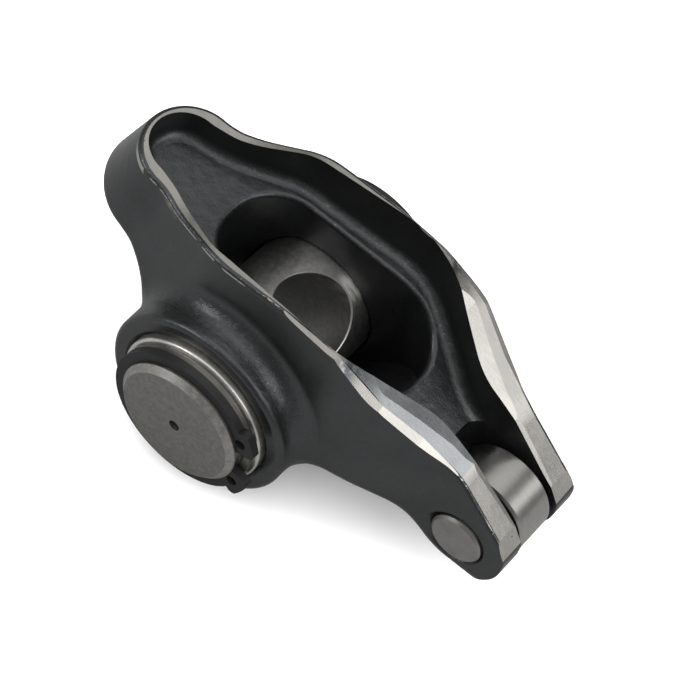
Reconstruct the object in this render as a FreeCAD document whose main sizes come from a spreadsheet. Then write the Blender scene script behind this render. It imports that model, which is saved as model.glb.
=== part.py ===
import FreeCAD, Part
import math
import os
import Sketcher

from FreeCAD import Placement, Rotation, Vector

# Rocker arm on a needle bearing trunnion, with a roller tip. Millimetres.
# X runs from the trunnion axis to the roller axis, Y along the trunnion, Z up out of the open tub.
# The origin is the middle of the trunnion.

os.makedirs("parts", exist_ok=True)
doc = FreeCAD.newDocument("rocker_arm")

# Driving sizes: name, value, meaning
SIZES = [
    ("press_gap", 0.005, "radial gap left in a pressed joint"),
    ("running_gap", 0.02, "radial gap of a turning joint"),
    ("end_play", 0.05, "axial gap between washers and what they run on"),
    ("trunnion_dia", 19.05, "trunnion"),
    ("trunnion_stand", 1.2, "how far the trunnion stands out of the snap ring"),
    ("trunnion_chamfer", 0.85, "chamfer of the trunnion ends"),
    ("centre_hole_dia", 1.7, "centre hole in each trunnion end"),
    ("centre_hole_depth", 2.2, "depth of the centre holes"),
    ("stud_bore_dia", 12.1, "bore across the trunnion for the stud and its nut"),
    ("stud_bore_chamfer", 0.2, "break of the bore's saddle edge"),
    ("stud_lean", 30.0, "lean of the stud bore towards the roller, degrees"),
    ("needle_dia", 1.5, "needle rollers"),
    ("needle_count", 22, "needles in one bearing"),
    ("needle_end_gap", 0.15, "gap between needle ends and the cage bars"),
    ("shell_wall", 0.44, "wall of the drawn bearing shell"),
    ("shell_lip", 0.5, "thickness of the turned-in lips of the shell"),
    ("shell_lip_gap", 0.35, "gap between the lips and the trunnion"),
    ("shell_corner", 0.42, "outer rounding of the shell ends"),
    ("shell_stand", 0.95, "how far the shell stands out of the boss"),
    ("cage_wall", 0.75, "radial thickness of the needle cage"),
    ("pocket_gap", 0.06, "gap between a needle and the bars of the cage"),
    ("cage_rim", 0.7, "width of the end rings of the cage"),
    ("washer_thick", 0.9, "thrust washer"),
    ("washer_width", 1.175, "radial width of the thrust washer"),
    ("washer_gap", 0.1, "radial gap between thrust washer and trunnion"),
    ("ring_thick", 1.2, "snap ring"),
    ("ring_width", 2.12, "radial width of the snap ring"),
    ("groove_depth", 0.575, "depth of the snap ring groove"),
    ("ring_gap_half", 14.0, "half of the snap ring's opening, degrees"),
    ("ring_turn", 3.0, "middle of the snap ring's opening above the X axis, degrees"),
    ("lug_stand", 1.375, "how far the lugs stand out of the snap ring"),
    ("lug_end_half", 36.0, "half angle to the back of the lugs, degrees"),
    ("lug_round", 0.8, "outer corners of the lugs"),
    ("lug_hole_angle", 25.0, "half angle between the plier holes, degrees"),
    ("lug_hole_inset", 0.525, "middle of the plier holes inside the ring's edge"),
    ("lug_hole_dia", 1.6, "plier holes"),
    ("boss_wall", 2.9, "wall of the bosses round the bearing bores"),
    ("boss_half", 17.55, "middle of the body to the face of the boss"),
    ("boss_edge", 0.9, "outer rounding of the bosses"),
    ("boss_blend", 3.2, "hollow blend from boss to wall"),
    ("bore_chamfer", 0.6, "chamfer of the bearing bores"),
    ("shoulder_y", 9.5, "middle of the body to the shoulder of the bearing bore"),
    ("shoulder_gap", 0.35, "gap between the shoulder's hole and the trunnion"),
    ("roller_arm", 37.4, "trunnion axis to roller axis"),
    ("roller_dia", 14.0, "roller tip"),
    ("roller_width", 6.6, "roller tip"),
    ("roller_chamfer", 0.35, "chamfer of the roller"),
    ("pin_dia", 7.94, "roller pin"),
    ("pin_half", 8.7, "middle of the body to the end of the pin"),
    ("pin_chamfer", 0.35, "chamfer of the pin ends"),
    ("pin_bore_chamfer", 0.45, "chamfer of the pin's bores"),
    ("pushrod_arm", 23.4, "trunnion axis to the middle of the pushrod seat"),
    ("pushrod_ball_dia", 7.94, "ball end of the pushrod"),
    ("seat_gap", 0.05, "how much larger in radius the seat is than the ball"),
    ("seat_depth", 4.6, "depth of the seat below the underside of the nose"),
    ("seat_mouth_dia", 10.2, "mouth of the seat"),
    ("nose_lean", 20.0, "slope of the underside of the nose, degrees"),
    ("nose_under", 8.0, "underside of the nose above the trunnion axis, at the seat"),
    # Outer outline at the upper level
    ("upper_z", 24.5, "level of the upper outline"),
    ("upper_nose_x", 18.6, "middle of the nose arc"),
    ("upper_nose_r", 6.75, "nose arc"),
    ("upper_neck_x", 16.8, "start of the widening"),
    ("upper_neck_y", 6.86, "half width there"),
    ("upper_flank_x", 6.05, "end of the widening"),
    ("upper_flank_y", 11.9, "half width of the middle"),
    ("upper_shoulder_x", 21.0, "start of the narrowing to the fork"),
    ("upper_shoulder_y", 11.9, "half width there"),
    ("upper_fork_x", 33.3, "start of the fork"),
    ("upper_fork_y", 7.65, "half width there"),
    ("upper_end_y", 7.4, "half width at the end"),
    # Outer outline at the lower level
    ("lower_z", -15.5, "level of the lower outline"),
    ("lower_nose_x", 30.1, "middle of the nose arc"),
    ("lower_nose_r", 11.5, "nose arc"),
    ("lower_neck_x", 26.2, "start of the widening"),
    ("lower_neck_y", 11.9, "half width there"),
    ("lower_flank_x", 8.3, "end of the widening"),
    ("lower_flank_y", 14.5, "half width of the middle"),
    ("lower_shoulder_x", 21.0, "start of the narrowing to the fork"),
    ("lower_shoulder_y", 14.4, "half width there"),
    ("lower_fork_x", 33.3, "start of the fork"),
    ("lower_fork_y", 8.8, "half width there"),
    ("lower_end_y", 8.5, "half width at the end"),
    ("blank_end_x", 48.0, "end of the blanks, past the fork"),
    ("blank_back_x", 44.0, "back of the blanks, past the nose"),
    ("blank_half", 25.0, "half width of the blanks"),
    ("neck_round", 10.0, "hollow rounding at the neck"),
    ("flank_round", 14.0, "rounding at the flank"),
    ("shoulder_round", 12.0, "rounding at the shoulder"),
    ("fork_round", 14.0, "hollow rounding at the fork"),
    # Side profile: rim
    ("rim_back_z", 23.9, "rim at the back of the blanks"),
    ("rim_rise_x", 15.0, "lowest place of the rim behind the window"),
    ("rim_rise_z", 20.2, "height there before rounding"),
    ("rim_crest_x", 6.8, "end of the rise"),
    ("rim_crest_z", 22.35, "height there before rounding"),
    ("rim_fall_x", 14.0, "start of the slope to the fork"),
    ("rim_fall_z", 23.25, "height there before rounding"),
    ("rim_bend_x", 34.3, "slight bend in the slope"),
    ("rim_bend_z", 11.65, "height there"),
    ("rim_front_x", 42.6, "front end of the slope"),
    ("rim_front_z", 4.9, "height there"),
    ("ear_front_x", 44.65, "front of the ears"),
    ("ear_face_z", 2.0, "lower end of the short front facet"),
    ("ear_bottom_z", 6.2, "bottom of the ears below the roller axis"),
    ("rim_rise_round", 12.0, "rounding of the rim"),
    ("rim_crest_round", 20.0, "rounding of the rim"),
    ("rim_fall_round", 31.0, "rounding of the rim"),
    ("rim_bend_round", 20.0, "rounding of the rim"),
    ("brow_round", 2.5, "rounding below the front facet"),
    ("ear_round", 6.2, "rounding of the ears"),
    # Side profile: underside
    ("heel_x", 34.4, "back of the ears' bottom"),
    ("arch_front_x", 28.0, "front of the arch"),
    ("arch_front_z", 0.6, "its depth below the axis"),
    ("arch_back_x", 18.0, "back of the arch"),
    ("arch_back_z", 0.9, "its height above the axis"),
    ("belly_x", 11.0, "where the arch runs into the boss"),
    ("belly_z", 8.5, "its depth below the axis"),
    ("nape_x", 17.6, "where the nose's underside turns down to the boss"),
    ("heel_round", 7.0, "rounding of the underside"),
    ("arch_round", 7.0, "rounding of the underside"),
    ("nape_round", 8.0, "rounding of the underside"),
    ("lower_edge", 1.6, "rounding along the lower edges"),
    ("rim_edge", 0.65, "rounding of the rim's outer edge"),
    # Hand ground facets of the rim: the edge where each facet starts, and its slope
    ("facet_reach", 2.0, "inner side of the cutter of the inner facet"),
    ("facet_end", 16.0, "outer side of the cutter of the outer facet"),
    ("facet_top", 4.0, "height of the facets' cutters"),
    ("inner_facet_slope", 0.2, "fall of the inner facet for each millimetre inward"),
    ("inner_a_x", 16.0, "inner facet, first station"),
    ("inner_a_y", 11.0, "edge of the facet there"),
    ("inner_b_x", 21.0, "second station"),
    ("inner_b_y", 10.0, "edge of the facet there"),
    ("inner_c_x", 26.0, "third station"),
    ("inner_c_y", 7.75, "edge of the facet there"),
    ("inner_d_x", 31.0, "fourth station"),
    ("inner_d_y", 5.8, "edge of the facet there"),
    ("inner_e_y", 5.2, "edge of the facet at the bend of the rim"),
    ("inner_f_x", 43.5, "last station"),
    ("inner_f_y", 4.35, "edge of the facet there"),
    ("outer_facet_slope", 0.5, "fall of the outer facet for each millimetre outward"),
    ("outer_a_x", 2.0, "outer facet, first station behind the trunnion axis"),
    ("outer_a_y", 12.6, "edge of the facet there"),
    ("outer_b_x", 5.0, "second station"),
    ("outer_b_y", 11.6, "edge of the facet there"),
    ("outer_c_y", 11.35, "edge of the facet where the rim turns down"),
    ("outer_d_x", 22.0, "fourth station"),
    ("outer_d_y", 11.0, "edge of the facet there"),
    ("outer_e_x", 28.0, "fifth station"),
    ("outer_e_y", 8.8, "edge of the facet there"),
    ("outer_f_y", 7.5, "edge of the facet at the bend of the rim"),
    ("outer_g_x", 43.0, "last station"),
    ("outer_g_y", 8.3, "edge of the facet there"),
    # Tub
    ("tub_upper_nose_x", 20.3, "middle of the inner nose arc, upper level"),
    ("tub_upper_nose_r", 5.45, "inner nose arc"),
    ("tub_upper_neck_x", 17.0, "start of the inner widening"),
    ("tub_upper_neck_y", 6.34, "half width there"),
    ("tub_upper_flank_x", 8.0, "end of the inner widening"),
    ("tub_upper_flank_y", 10.5, "half width of the middle"),
    ("tub_upper_shoulder_x", 14.5, "start of the inner narrowing"),
    ("tub_upper_shoulder_y", 12.1, "half width there"),
    ("tub_upper_fork_x", 27.5, "end of the inner narrowing"),
    ("tub_upper_fork_y", 5.16, "half width there"),
    ("tub_upper_end_y", 5.5, "half width at the end"),
    ("tub_lower_z", 0.0, "level of the lower inner outline"),
    ("tub_lower_nose_x", 21.5, "middle of the inner nose arc, lower level"),
    ("tub_lower_nose_r", 3.6, "inner nose arc"),
    ("tub_lower_neck_x", 18.4, "start of the inner widening"),
    ("tub_lower_neck_y", 3.9, "half width there"),
    ("tub_lower_flank_x", 5.4, "end of the inner widening"),
    ("tub_lower_flank_y", 9.2, "half width of the middle"),
    ("tub_lower_shoulder_x", 16.2, "start of the inner narrowing"),
    ("tub_lower_shoulder_y", 8.2, "half width there"),
    ("tub_lower_fork_x", 28.0, "end of the inner narrowing"),
    ("tub_lower_fork_y", 3.6, "half width there"),
    ("tub_lower_end_y", 3.6, "half width at the end"),
    ("tub_neck_round", 10.0, "hollow rounding at the inner neck"),
    ("tub_flank_round", 11.0, "rounding at the inner flank"),
    ("tub_shoulder_round", 20.0, "rounding at the inner shoulder"),
    ("tub_fork_round", 10.0, "hollow rounding at the inner fork"),
    ("floor_rear_z", 18.6, "height of the floor at the back of the blanks"),
    ("floor_z", 16.0, "floor of the tub beside the trunnion"),
    ("floor_back_x", 14.0, "where the floor gets level"),
    ("floor_turn_x", 13.0, "where the floor starts to fall"),
    ("web_end_z", 2.4, "depth of the web's slope below the axis at the end of the blanks"),
    ("floor_round", 14.0, "rounding of the floor"),
    ("lip_round", 0.7, "rounding of the window's upper edge"),
    ("floor_edge", 1.6, "hollow rounding along the floor"),
    # Window for the trunnion and the stud
    ("window_back_x", 11.4, "back wall of the window"),
    ("window_front_x", 20.9, "front wall of the window"),
    ("window_half", 7.7, "half width of the window"),
    ("window_back_round", 7.2, "rear corners"),
    ("window_front_round", 7.1, "front corners"),
    ("cradle_z", 10.8, "depth of the window's floor below the axis"),
    ("cradle_round", 10.0, "rounding of that floor under the trunnion"),
    ("cradle_toe_x", 5.2, "where the floor starts to rise"),
    ("cradle_front_x", 19.5, "where the floor gets level in front"),
    ("cradle_front_z", 4.0, "height of the floor in front"),
    ("cradle_front_round", 3.0, "rounding of the floor in front"),
    ("stud_slot_gap", 0.7, "gap beside the stud in the slot through the floor"),
    ("stud_slot_back_x", 13.4, "back end of the stud slot"),
    ("stud_slot_front_x", 9.6, "front end of the stud slot"),
    ("stud_slot_round", 5.5, "corners of the stud slot"),
    # Fork
    ("slot_half", 4.05, "half width of the fork's slot"),
    ("slot_gap", 1.3, "gap between the roller and the back of the slot"),
    ("slot_round", 2.6, "rear corners of the slot"),
]

sheet = doc.addObject("Spreadsheet::Sheet", "Sizes")
for row, (alias, number, meaning) in enumerate(SIZES, start=1):
    sheet.set("A%d" % row, alias)
    sheet.set("B%d" % row, str(number))
    sheet.set("C%d" % row, meaning)
    sheet.setAlias("B%d" % row, alias)

# Stations of the ground facets: place along X, edge of the facet, height of the rim there
INNER_FACET = [
    ("inner_a_x", "inner_a_y", "inner_a_z"),
    ("inner_b_x", "inner_b_y", "inner_b_z"),
    ("inner_c_x", "inner_c_y", "inner_c_z"),
    ("inner_d_x", "inner_d_y", "inner_d_z"),
    ("rim_bend_x", "inner_e_y", "rim_bend_z"),
    ("inner_f_x", "inner_f_y", "inner_f_z"),
]
OUTER_FACET = [
    ("-outer_a_x", "outer_a_y", "outer_a_z"),
    ("outer_b_x", "outer_b_y", "outer_b_z"),
    ("rim_fall_x", "outer_c_y", "outer_c_z"),
    ("outer_d_x", "outer_d_y", "outer_d_z"),
    ("outer_e_x", "outer_e_y", "outer_e_z"),
    ("rim_bend_x", "outer_f_y", "rim_bend_z"),
    ("outer_g_x", "outer_g_y", "outer_g_z"),
]

# Sizes that follow from others
DERIVED = [
    ("trunnion_r", "trunnion_dia / 2"),
    ("shell_inner_r", "trunnion_r + needle_dia + 2 * running_gap"),
    ("shell_outer_r", "shell_inner_r + shell_wall"),
    ("bore_r", "shell_outer_r + press_gap"),
    ("needle_ring_r", "trunnion_r + running_gap + needle_dia / 2"),
    ("cage_inner_r", "needle_ring_r - cage_wall / 2"),
    ("cage_outer_r", "needle_ring_r + cage_wall / 2"),
    ("lip_inner_r", "trunnion_r + shell_lip_gap"),
    ("shell_start", "shoulder_y + end_play"),
    ("shell_end", "boss_half + shell_stand"),
    ("cage_start", "shell_start + shell_lip + end_play"),
    ("cage_end", "shell_end - shell_lip - end_play"),
    ("needle_start", "cage_start + cage_rim + needle_end_gap"),
    ("needle_end", "cage_end - cage_rim - needle_end_gap"),
    ("window_in_cage", "cage_end - cage_start - 2 * cage_rim"),
    ("washer_start", "shell_end + end_play"),
    ("washer_end", "washer_start + washer_thick"),
    ("washer_inner_r", "trunnion_r + washer_gap"),
    ("washer_outer_r", "washer_inner_r + washer_width"),
    ("ring_start", "washer_end + end_play"),
    ("ring_end", "ring_start + ring_thick"),
    ("groove_r", "trunnion_r - groove_depth"),
    ("ring_inner_r", "groove_r + press_gap"),
    ("ring_outer_r", "groove_r + ring_width"),
    ("lug_reach", "ring_outer_r + lug_stand"),
    ("lug_hole_ring", "ring_outer_r - lug_hole_inset"),
    ("trunnion_half", "ring_end + trunnion_stand"),
    ("groove_start", "ring_start - end_play / 2"),
    ("groove_end", "ring_end + end_play / 2"),
    ("shoulder_r", "trunnion_r + shoulder_gap"),
    ("boss_r", "bore_r + boss_wall"),
    ("pin_r", "pin_dia / 2"),
    ("pin_bore_r", "pin_r + press_gap"),
    ("roller_r", "roller_dia / 2"),
    ("roller_bore_r", "pin_r + running_gap"),
    ("seat_r", "pushrod_ball_dia / 2 + seat_gap"),
    ("nape_z", "nose_under - (pushrod_arm - nape_x) * tan(nose_lean)"),
    ("rim_slope", "(rim_fall_z - rim_bend_z) / (rim_bend_x - rim_fall_x)"),
    ("rim_front_slope", "(rim_bend_z - rim_front_z) / (rim_front_x - rim_bend_x)"),
    ("rim_end_z", "rim_front_z - rim_front_slope * (blank_end_x - rim_front_x)"),
    ("rim_crest_slope", "(rim_fall_z - rim_crest_z) / (rim_fall_x + rim_crest_x)"),
    ("rim_turn", "atan(rim_slope) + atan(rim_crest_slope)"),
    ("rim_sag", "rim_fall_round * (1 / cos(rim_turn / 2) - 1)"),
    ("inner_a_z", "rim_fall_z - rim_slope * (inner_a_x - rim_fall_x)"),
    ("inner_b_z", "rim_fall_z - rim_slope * (inner_b_x - rim_fall_x)"),
    ("inner_c_z", "rim_fall_z - rim_slope * (inner_c_x - rim_fall_x)"),
    ("inner_d_z", "rim_fall_z - rim_slope * (inner_d_x - rim_fall_x)"),
    ("inner_f_z", "rim_front_z - rim_front_slope * (inner_f_x - rim_front_x)"),
    ("outer_a_z", "rim_fall_z - rim_crest_slope * (rim_fall_x + outer_a_x)"),
    ("outer_b_z", "rim_fall_z - rim_crest_slope * (rim_fall_x - outer_b_x)"),
    ("outer_c_z", "rim_fall_z - rim_sag"),
    ("outer_d_z", "rim_fall_z - rim_slope * (outer_d_x - rim_fall_x)"),
    ("outer_e_z", "rim_fall_z - rim_slope * (outer_e_x - rim_fall_x)"),
    ("outer_g_z", "rim_front_z - rim_front_slope * (outer_g_x - rim_front_x)"),
    ("back_z", "nose_under + (blank_back_x - pushrod_arm) * tan(nose_lean)"),
    ("slot_back_x", "roller_arm - roller_r - slot_gap"),
    ("bore_mouth_r", "bore_r + bore_chamfer"),
    ("bore_mouth_y", "boss_half - bore_chamfer"),
    ("sink_start_y", "pin_half - 2 * pin_bore_chamfer"),
    ("sink_end_y", "pin_half + 2 * pin_bore_chamfer"),
    ("sink_end_r", "pin_bore_r + 4 * pin_bore_chamfer"),
    ("face_r", "trunnion_r - trunnion_chamfer"),
    ("chamfer_y", "trunnion_half - trunnion_chamfer"),
        ("centre_r", "centre_hole_dia / 2"),
    ("centre_cone_y", "trunnion_half - centre_hole_depth"),
    ("centre_side_y", "trunnion_half - centre_hole_depth + centre_r"),
    ("stud_bore_r", "stud_bore_dia / 2"),
    ("stud_slot_half", "stud_bore_r + stud_slot_gap"),
    ("stud_slot_top", "-trunnion_r / 4"),
    ("roller_half", "roller_width / 2"),
    ("roller_side_y", "roller_half - roller_chamfer"),
    ("roller_face_r", "roller_r - roller_chamfer"),
    ("roller_mouth_r", "roller_bore_r + roller_chamfer"),
    ("pin_side_y", "pin_half - pin_chamfer"),
    ("pin_face_r", "pin_r - pin_chamfer"),
    ("lip_end_y", "shell_end - shell_lip"),
    ("lip_start_y", "shell_start + shell_lip"),
    ("seat_height", "seat_depth - seat_r"),
]
for place, edge, level in INNER_FACET:
    DERIVED.append((edge + "_top", level + " + facet_top"))
    DERIVED.append((edge + "_low", "%s - inner_facet_slope * (%s - facet_reach)" % (level, edge)))
for place, edge, level in OUTER_FACET:
    DERIVED.append((edge + "_top", level + " + facet_top"))
    DERIVED.append((edge + "_low", "%s - outer_facet_slope * (facet_end - %s)" % (level, edge)))
for row, (alias, formula) in enumerate(DERIVED, start=len(SIZES) + 2):
    text = formula.replace("tan(nose_lean)", "tan(nose_lean * 1deg)")
    sheet.set("A%d" % row, alias)
    sheet.set("B%d" % row, "=" + text)
    sheet.setAlias("B%d" % row, alias)
doc.recompute()


def size(name):
    """Value of a size; a leading minus turns its sign."""
    if name == "0":
        return 0.0
    if name.startswith("-"):
        return -float(sheet.get(name[1:]))
    return float(sheet.get(name))


def bound(name):
    """Expression that reads a size from the sheet."""
    if name.startswith("-"):
        return "-Sizes." + name[1:]
    return "Sizes." + name


def new_body(name):
    body = doc.addObject("PartDesign::Body", name)
    body.Label = name
    return body


def plane(body, role):
    """Origin plane of a body, such as XY_Plane."""
    for feature in body.Origin.OriginFeatures:
        if feature.Role == role:
            return feature
    raise ValueError("no plane " + role)


def new_sketch(body, name, role, level=None):
    """Sketch on an origin plane, raised by the size named in level."""
    sketch = body.newObject("Sketcher::SketchObject", name)
    sketch.AttachmentSupport = [(plane(body, role), "")]
    sketch.MapMode = "FlatFace"
    if level:
        sketch.setExpression("AttachmentOffset.Base.z", bound(level))
    return sketch


def tie_point(sketch, geometry, end, across, along):
    """Hold one end of an edge at two named coordinates."""
    for kind, name, axis in (("DistanceX", across, -2), ("DistanceY", along, -1)):
        if name == "0":
            sketch.addConstraint(Sketcher.Constraint("PointOnObject", geometry, end, axis))
            continue
        index = sketch.addConstraint(
            Sketcher.Constraint(kind, -1, 1, geometry, end, size(name)))
        sketch.setExpression("Constraints[%d]" % index, bound(name))


def outline(sketch, points, nose=False):
    """Closed outline through named points. With nose, a half circle joins the last to the first."""
    corners = [Vector(size(a), size(b), 0) for a, b in points]
    count = len(corners)
    lines = count - 1 if nose else count
    for index in range(lines):
        sketch.addGeometry(Part.LineSegment(corners[index], corners[(index + 1) % count]), False)
        tie_point(sketch, index, 1, *points[index])
    for index in range(count - 2 if nose else count):
        follower = (index + 1) % count
        sketch.addConstraint(Sketcher.Constraint("Coincident", index, 2, follower, 1))
    if not nose:
        return
    tie_point(sketch, lines - 1, 2, *points[-1])
    circle = Part.Circle((corners[0] + corners[-1]) * 0.5, Vector(0, 0, 1), corners[0].y)
    arc = sketch.addGeometry(Part.ArcOfCircle(circle, math.pi / 2, 3 * math.pi / 2), False)
    sketch.addConstraint(Sketcher.Constraint("Coincident", arc, 1, 0, 1))
    sketch.addConstraint(Sketcher.Constraint("Coincident", arc, 2, lines - 1, 2))
    held = sketch.addConstraint(Sketcher.Constraint("DistanceX", -1, 1, arc, 3, corners[0].x))
    sketch.setExpression("Constraints[%d]" % held, bound(points[0][0]))


def circle_in(sketch, across, along, radius):
    """Circle at two named coordinates with a named radius."""
    middle = Vector(size(across), size(along), 0)
    index = sketch.addGeometry(Part.Circle(middle, Vector(0, 0, 1), size(radius)), False)
    tie_point(sketch, index, 3, across, along)
    held = sketch.addConstraint(Sketcher.Constraint("Radius", index, size(radius)))
    sketch.setExpression("Constraints[%d]" % held, bound(radius))


def tip(body, feature):
    body.Tip = feature
    doc.recompute()
    return feature


def edges_near(shape, spots, direction):
    """Names of the edges that end on one of the spots and run along direction."""
    names = []
    for number, edge in enumerate(shape.Edges, start=1):
        ends = [vertex.Point for vertex in edge.Vertexes]
        if len(ends) != 2:
            continue
        run = ends[1].sub(ends[0])
        if abs(run.dot(direction)) < 0.5 * run.Length:
            continue
        if any((end.sub(spot)).Length < 1e-3 for end in ends for spot in spots):
            names.append("Edge%d" % number)
    return names


def dress(body, name, edge_names, amount, kind="Fillet"):
    """Fillet or chamfer of the named edges of a body's last feature."""
    base = body.Tip
    feature = body.newObject("PartDesign::" + kind, name)
    feature.Base = (base, edge_names)
    feature.setExpression("Radius" if kind == "Fillet" else "Size", bound(amount))
    return tip(body, feature)


def round_edges(body, name, spots, direction, radius):
    """Fillet the edges that end on the spots."""
    return dress(body, name, edges_near(body.Tip.Shape, spots, direction), radius)


def circles_of(shape, radius):
    """Names of the circular edges with the radius named."""
    names = []
    for number, edge in enumerate(shape.Edges, start=1):
        if isinstance(edge.Curve, Part.Circle) and abs(edge.Curve.Radius - size(radius)) < 1e-6:
            names.append("Edge%d" % number)
    return names


def ruled_blank(name, upper, lower, upper_level, lower_level, rounds):
    """Loft between two outlines of the same kind, with its standing edges rounded."""
    body = new_body(name)
    top = new_sketch(body, name + "_upper", "XY_Plane", upper_level)
    outline(top, upper, nose=True)
    bottom = new_sketch(body, name + "_lower", "XY_Plane", lower_level)
    outline(bottom, lower, nose=True)
    doc.recompute()
    loft = body.newObject("PartDesign::AdditiveLoft", name + "_loft")
    loft.Profile = top
    loft.Sections = [bottom]
    loft.Ruled = True
    tip(body, loft)
    for corner, radius in rounds:
        across, along = upper[corner]
        spots = [Vector(size(across), sign * size(along), size(upper_level)) for sign in (1, -1)]
        round_edges(body, "%s_round_%d" % (name, corner), spots, Vector(0, 0, 1), radius)
    return body


def side_blank(name, points, rounds):
    """Pad of a side profile across the full width, with rounded corners."""
    width = "blank_half"
    body = new_body(name)
    sketch = new_sketch(body, name + "_profile", "XZ_Plane")
    outline(sketch, points)
    pad = body.newObject("PartDesign::Pad", name + "_pad")
    pad.Profile = sketch
    pad.SideType = "Symmetric"
    pad.setExpression("Length", "2 * " + bound(width))
    tip(body, pad)
    for corner, radius in rounds:
        across, along = points[corner]
        spots = [Vector(size(across), sign * size(width), size(along)) for sign in (1, -1)]
        round_edges(body, "%s_round_%d" % (name, corner), spots, Vector(0, 1, 0), radius)
    return body


def combine(kind, name, first, second):
    """Part boolean of two objects."""
    result = doc.addObject("Part::" + kind, name)
    result.Base = first
    result.Tool = second
    doc.recompute()
    return result


def round_shape(name, base, numbers, radius, kind="Fillet"):
    """Part fillet or chamfer of numbered edges."""
    result = doc.addObject("Part::" + kind, name)
    result.Base = base
    result.Edges = [(number, size(radius), size(radius)) for number in numbers]
    doc.recompute()
    return result


# Rocker body: outline and side profile crossed to the solid blank
def both_sides(points):
    """Outline points of the far side, followed by their mirror images."""
    mirrored = [(across, "-" + along) for across, along in reversed(points)]
    return points + mirrored


def plan_points(prefix, end_x, end_y):
    return both_sides([
        ("-%s_nose_x" % prefix, "%s_nose_r" % prefix),
        ("-%s_neck_x" % prefix, "%s_neck_y" % prefix),
        ("-%s_flank_x" % prefix, "%s_flank_y" % prefix),
        ("%s_shoulder_x" % prefix, "%s_shoulder_y" % prefix),
        ("%s_fork_x" % prefix, "%s_fork_y" % prefix),
        (end_x, end_y),
    ])


outer_plan = ruled_blank(
    "outer_plan",
    plan_points("upper", "blank_end_x", "upper_end_y"),
    plan_points("lower", "blank_end_x", "lower_end_y"),
    "upper_z", "lower_z",
    [(1, "neck_round"), (2, "flank_round"), (3, "shoulder_round"), (4, "fork_round")])

outer_side = side_blank(
    "outer_side",
    [
        ("-blank_back_x", "rim_back_z"),
        ("-rim_rise_x", "rim_rise_z"),
        ("-rim_crest_x", "rim_crest_z"),
        ("rim_fall_x", "rim_fall_z"),
        ("rim_bend_x", "rim_bend_z"),
        ("blank_end_x", "rim_end_z"),
        ("blank_end_x", "-ear_bottom_z"),
        ("heel_x", "-ear_bottom_z"),
        ("arch_front_x", "-arch_front_z"),
        ("arch_back_x", "arch_back_z"),
        ("belly_x", "-belly_z"),
        ("-belly_x", "-belly_z"),
        ("-nape_x", "nape_z"),
        ("-blank_back_x", "back_z"),
    ],
    [
        (1, "rim_rise_round"), (2, "rim_crest_round"), (3, "rim_fall_round"), (4, "rim_bend_round"),
        (7, "heel_round"), (8, "arch_round"), (9, "arch_round"), (12, "nape_round"),
    ])
bar = combine("Common", "bar", outer_plan, outer_side)


def is_profile_face(face):
    """Faces cut by a side profile are flat or round about Y; those of an outline are ruled."""
    return isinstance(face.Surface, (Part.Plane, Part.Cylinder))


def middle_normal(face):
    """Outward normal at the middle of a face."""
    u_low, u_high, v_low, v_high = face.ParameterRange
    return face.normalAt((u_low + u_high) / 2, (v_low + v_high) / 2)


def border_edges(shape, upward):
    """Numbers of the edges between outline faces and the profile faces that look up, or down."""
    numbers = []
    for number, edge in enumerate(shape.Edges, start=1):
        faces = shape.ancestorsOfType(edge, Part.Face)
        profile = [face for face in faces if is_profile_face(face)]
        if len(profile) != 1 or len(faces) != 2:
            continue
        tilt = middle_normal(profile[0]).z
        if (tilt > 0.05) if upward else (tilt < -0.05):
            numbers.append(number)
    return numbers


bar_low = round_shape("bar_low", bar, border_edges(bar.Shape, False), "lower_edge")
bar_rim = round_shape("bar_rim", bar_low, border_edges(bar_low.Shape, True), "rim_edge")

# Rounded end of the ears
ear_side = side_blank(
    "ear_side",
    [
        ("-blank_back_x", "upper_z"),
        ("rim_front_x", "upper_z"),
        ("rim_front_x", "rim_front_z"),
        ("ear_front_x", "ear_face_z"),
        ("ear_front_x", "-ear_bottom_z"),
        ("heel_x", "-ear_bottom_z"),
        ("heel_x", "lower_z"),
        ("-blank_back_x", "lower_z"),
    ],
    [(3, "brow_round"), (4, "ear_round")])
bar_eared = combine("Common", "bar_eared", bar_rim, ear_side)


# Bearing bosses, blended into the walls
def turned(name, points):
    """Body turned about Y from an outline of radius and length."""
    body = new_body(name)
    sketch = new_sketch(body, name + "_section", "XY_Plane")
    outline(sketch, points)
    turn = body.newObject("PartDesign::Revolution", name + "_turn")
    turn.Profile = sketch
    turn.ReferenceAxis = (sketch, ["V_Axis"])
    turn.Angle = 360
    tip(body, turn)
    return body


def mirrored_section(points):
    """Outline of a turned piece that is the same on both sides of its middle."""
    other = [(radius, "-" + along) for radius, along in reversed(points)]
    return points + other


bosses = turned("bosses", mirrored_section([("0", "boss_half"), ("boss_r", "boss_half")]))
dress(bosses, "boss_edges", circles_of(bosses.Shape, "boss_r"), "boss_edge")
bossed = combine("Fuse", "bossed", bar_eared, bosses)


def on_boss(edge):
    """True for an edge that runs on the side of the bosses, inside their rounded ends."""
    limit = size("boss_half") - size("boss_edge") - 0.01
    for step in range(5):
        low, high = edge.ParameterRange
        point = edge.valueAt(low + (high - low) * step / 4)
        if abs(math.hypot(point.x, point.z) - size("boss_r")) > 0.01 or abs(point.y) > limit:
            return False
    return True


blend_edges = []
for number, edge in enumerate(bossed.Shape.Edges, start=1):
    if on_boss(edge) and len(bossed.Shape.ancestorsOfType(edge, Part.Face)) == 2:
        blend_edges.append(number)
blended = round_shape("blended", bossed, blend_edges, "boss_blend")

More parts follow.
